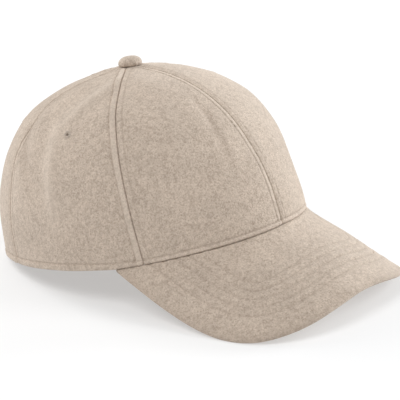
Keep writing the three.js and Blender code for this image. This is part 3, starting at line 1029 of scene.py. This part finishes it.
loops, painted_shade = peak_shell()
peak = add_object("wool_peak", loops, shell_faces(len(loops), loops.shape[1]), wool)
# The peak's painted shade, stored below 0
set_painted_light(peak, -painted_shade)
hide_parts("peak")
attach(peak, "root")

# The peak's stitches
# Five concentric lockstitch rows go through both cloths and the board and show on both
# faces. Each lies where a grid over the peak first comes within the row's distance of the
# edge.
GRID_END = 0.985
GRID_REACH = 0.98

grid_place = np.linspace(-GRID_END, GRID_END, 500)[:, None] + np.zeros((1, 160))
grid_out = np.linspace(0, GRID_REACH, 160) + 0 * grid_place
grid_distance = edge_distance(peak_middle(grid_place, grid_out))[0]
rings = []
for k in range(PEAK_ROW_COUNT):
    wanted = PEAK_ROW_FIRST + k * PEAK_ROW_PITCH
    inside = grid_distance < wanted
    crossing = inside.argmax(axis=1)
    kept = (crossing > 0) & inside.any(axis=1)
    rows = np.nonzero(kept)[0]
    after = grid_distance[rows, crossing[kept]]
    before = grid_distance[rows, crossing[kept] - 1]
    share = (before - wanted) / (before - after)
    place = grid_place[rows, 0]
    out = lerp(grid_out[rows, crossing[kept] - 1], grid_out[rows, crossing[kept]], share)
    rings.append(row_of_stitches(peak_top, peak_normal, place, out))
    rings.append(row_of_stitches(peak_underside, lambda a, b: -peak_normal(a, b), place, out))
rings = np.concatenate(rings)
faces = tube_faces(len(rings), STITCH_STATIONS, STITCH_SIDES)
peak_stitches = add_object("peak_stitches", put_down(rings), faces, thread)
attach(peak_stitches, "root")

# The button
# A domed metal blank covered with a gathered round of melton, whose shank passes through
# the crown where the six panels meet and is spread flat inside.
BUTTON_RADIUS = 7.5 * MM
BUTTON_HEIGHT = 5.2 * MM
BUTTON_FORWARD = 1.8 * MM
BUTTON_UNDERCUT = 1.2 * MM
BUTTON_SEAT = 0.3 * MM
BUTTON_SHANK = 2.3 * MM
BUTTON_HEAD = 4.5 * MM
BUTTON_HEAD_THICKNESS = 0.8 * MM
BUTTON_SIDES = 120
BUTTON_PLEATS = 14
PLEAT = 0.16 * MM
BUTTON_ROWS = 50
DOME_FULLNESS = 0.8
HEAD_ROUND = 0.2 * MM
BUTTON_LUMP = 0.12 * MM
BUTTON_FINE_LUMP = 0.08 * MM


def turned_faces(rings, sides):
    """Quads between rings of points and a fan of triangles to the pole at each end, where
    the poles are the first and last points."""
    quads = np.array(tube_faces(1, rings, sides)[: (rings - 1) * sides]) + 1
    ring = np.arange(sides)
    pole = rings * sides + 1
    last = (rings - 1) * sides + 1
    low = np.stack([0 * ring, 1 + np.roll(ring, -1), 1 + ring], axis=-1)
    high = np.stack([0 * ring + pole, last + ring, last + np.roll(ring, -1)], axis=-1)
    return quads.tolist() + low.tolist() + high.tolist()


neck = -CLOTH - BUTTON_SEAT
head_low = neck - BUTTON_HEAD_THICKNESS
inner = np.array([
    [0.5 * BUTTON_HEAD, head_low],
    [0.92 * BUTTON_HEAD, head_low],
    [BUTTON_HEAD, head_low + HEAD_ROUND],
    [BUTTON_HEAD, neck - HEAD_ROUND],
    [0.92 * BUTTON_HEAD, neck],
    [BUTTON_SHANK, neck],
    [BUTTON_SHANK, BUTTON_SEAT],
])
turn = np.linspace(-np.pi / 2, np.pi / 2, BUTTON_ROWS)[:-1]
reach = np.cos(turn)
widest = BUTTON_SEAT + BUTTON_UNDERCUT
under = turn < 0
domed = BUTTON_RADIUS * np.abs(reach) ** DOME_FULLNESS
radius = np.where(under, BUTTON_RADIUS - BUTTON_UNDERCUT * (1 - reach), domed)
height = widest + np.where(under, BUTTON_UNDERCUT, BUTTON_HEIGHT - BUTTON_UNDERCUT) * np.sin(turn)
radius = np.concatenate([inner[:, 0], radius])
height = np.concatenate([inner[:, 1], height])
around = 2 * np.pi * np.arange(BUTTON_SIDES) / BUTTON_SIDES
gathered = np.cos(BUTTON_PLEATS * around + 1.2 * np.sin(3 * around)) * PLEAT
low_cover = np.concatenate([np.zeros(len(inner)), bump(turn + 0.5, 0.5)])
lumps = BUTTON_LUMP * np.cos(2 * around + 0.6) + BUTTON_FINE_LUMP * np.sin(5 * around)
cover = np.concatenate([np.zeros(len(inner)), np.ones(len(turn))])
radii = radius[:, None] + low_cover[:, None] * gathered
radii = radii + cover[:, None] * lumps * (radius / BUTTON_RADIUS)[:, None]
x = radii * np.cos(around)
y = radii * np.sin(around) - cover[:, None] * BUTTON_FORWARD
seat = CROWN_HEIGHT + TIP_RISE
away = np.hypot(x, y)
fall = TIP_RISE * (1 - bump(away, TIP_SPREAD * HEM_FRONT)) + away**2 / (2 * CROWN_HEIGHT)
follows = np.concatenate([np.zeros(len(inner)), (1 - np.sin(turn)) / 2])
z = height[:, None] - follows[:, None] * fall + seat
points = np.stack([x, y, z], axis=-1).reshape(-1, 3)
top = seat + BUTTON_SEAT + BUTTON_HEIGHT
poles = np.array([[0, 0, seat + head_low], [0, -BUTTON_FORWARD, top]])
points = np.concatenate([poles[:1], points, poles[1:]])
button = add_object("wool_button", put_down(points), turned_faces(len(radius), BUTTON_SIDES), wool)
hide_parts("button")
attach(button, "root")

# The stage
# A plain pale floor under plain soft studio light, mostly from the right and above, and a
# long lens at the photograph's angle.
FLOOR_SIZE = 8.0
FLOOR_DROP = 0.0002
FLOOR_COLOUR = (0.5, 0.5, 0.5)
FLOOR_GLOW = 0.85
CAMERA_AZIMUTH = math.radians(53.4)
CAMERA_ELEVATION = math.radians(18.85)
CAMERA_DISTANCE = 1.3
CAMERA_AIM = (6.6 * MM, -3.3 * MM, 45.7 * MM)
FOCAL_MM = 184.0
SENSOR_MM = 36
VIEW_END = 20
LIGHT_DISTANCE = 2.2
LIGHT_SIZE = 1.2
LIGHT_AIM = (0, 0, 0.05)
KEY_POWER = 13
SIDE_POWER = 47
BACK_POWER = 25
FILL_POWER = 21.5
WORLD_LIGHT = 0.37
DAYLIGHT = (0.93, 0.97, 1.0)


def plain_material(name, colour, glow):
    """A matt surface of one colour, lit from within by a strength."""
    material = bpy.data.materials.new(name)
    material.use_nodes = True
    shader = material.node_tree.nodes["Principled BSDF"]
    shader.inputs["Base Color"].default_value = (*colour, 1)
    shader.inputs["Roughness"].default_value = 1.0
    shader.inputs["Specular IOR Level"].default_value = 0.0
    shader.inputs["Emission Color"].default_value = (*colour, 1)
    shader.inputs["Emission Strength"].default_value = glow
    return material


half = FLOOR_SIZE / 2
floor_points = np.array([(-half, -half, 0), (half, -half, 0), (half, half, 0), (-half, half, 0)])
floor_points[:, 2] = -FLOOR_DROP
pale_floor = plain_material("pale_floor", FLOOR_COLOUR, FLOOR_GLOW)
floor = add_object("floor", floor_points, [[0, 1, 2, 3]], pale_floor)


def direction(azimuth, elevation):
    """The unit vector from the object to something at an azimuth from the front, towards
    the wearer's right, and an elevation."""
    level = math.cos(elevation)
    return np.array([-math.sin(azimuth) * level, -math.cos(azimuth) * level, math.sin(elevation)])


def look(obj, place, aim):
    """Put an object at a place with its -Z towards the aim and its top upwards."""
    back = unit(np.asarray(place, float) - np.asarray(aim, float))
    right = unit(np.cross([0, 0, 1], back))
    upward = np.cross(back, right)
    matrix = np.eye(4)
    matrix[:3, :3] = np.stack([right, upward, back], axis=1)
    matrix[:3, 3] = place
    obj.matrix_world = mathutils.Matrix(matrix.tolist())


def area_light(name, azimuth, elevation, power, colour=(1, 1, 1)):
    """A round soft light that looks at the object from an azimuth and elevation."""
    light = bpy.data.lights.new(name, "AREA")
    light.color = colour
    light.shape = "DISK"
    light.size = LIGHT_SIZE
    light.energy = power
    obj = bpy.data.objects.new(name, light)
    bpy.context.scene.collection.objects.link(obj)
    place = direction(math.radians(azimuth), math.radians(elevation)) * LIGHT_DISTANCE
    look(obj, place, LIGHT_AIM)


area_light("key_light", -30, 35, KEY_POWER)
area_light("side_light", -70, 12, SIDE_POWER, DAYLIGHT)
area_light("back_light", 180, 30, BACK_POWER)
area_light("fill_light", 88, 52, FILL_POWER)

world = bpy.data.worlds.new("studio")
world.use_nodes = True
world.node_tree.nodes["Background"].inputs["Color"].default_value = (1, 1, 1, 1)
world.node_tree.nodes["Background"].inputs["Strength"].default_value = WORLD_LIGHT
bpy.context.scene.world = world
bpy.context.scene.view_settings.view_transform = "Standard"

lens = bpy.data.cameras.new("camera")
lens.lens = FOCAL_MM
lens.sensor_width = SENSOR_MM
lens.clip_end = VIEW_END
camera = bpy.data.objects.new("camera", lens)
bpy.context.scene.collection.objects.link(camera)
aim = np.array(CAMERA_AIM)
look(camera, aim + direction(CAMERA_AZIMUTH, CAMERA_ELEVATION) * CAMERA_DISTANCE, aim)
bpy.context.scene.camera = camera
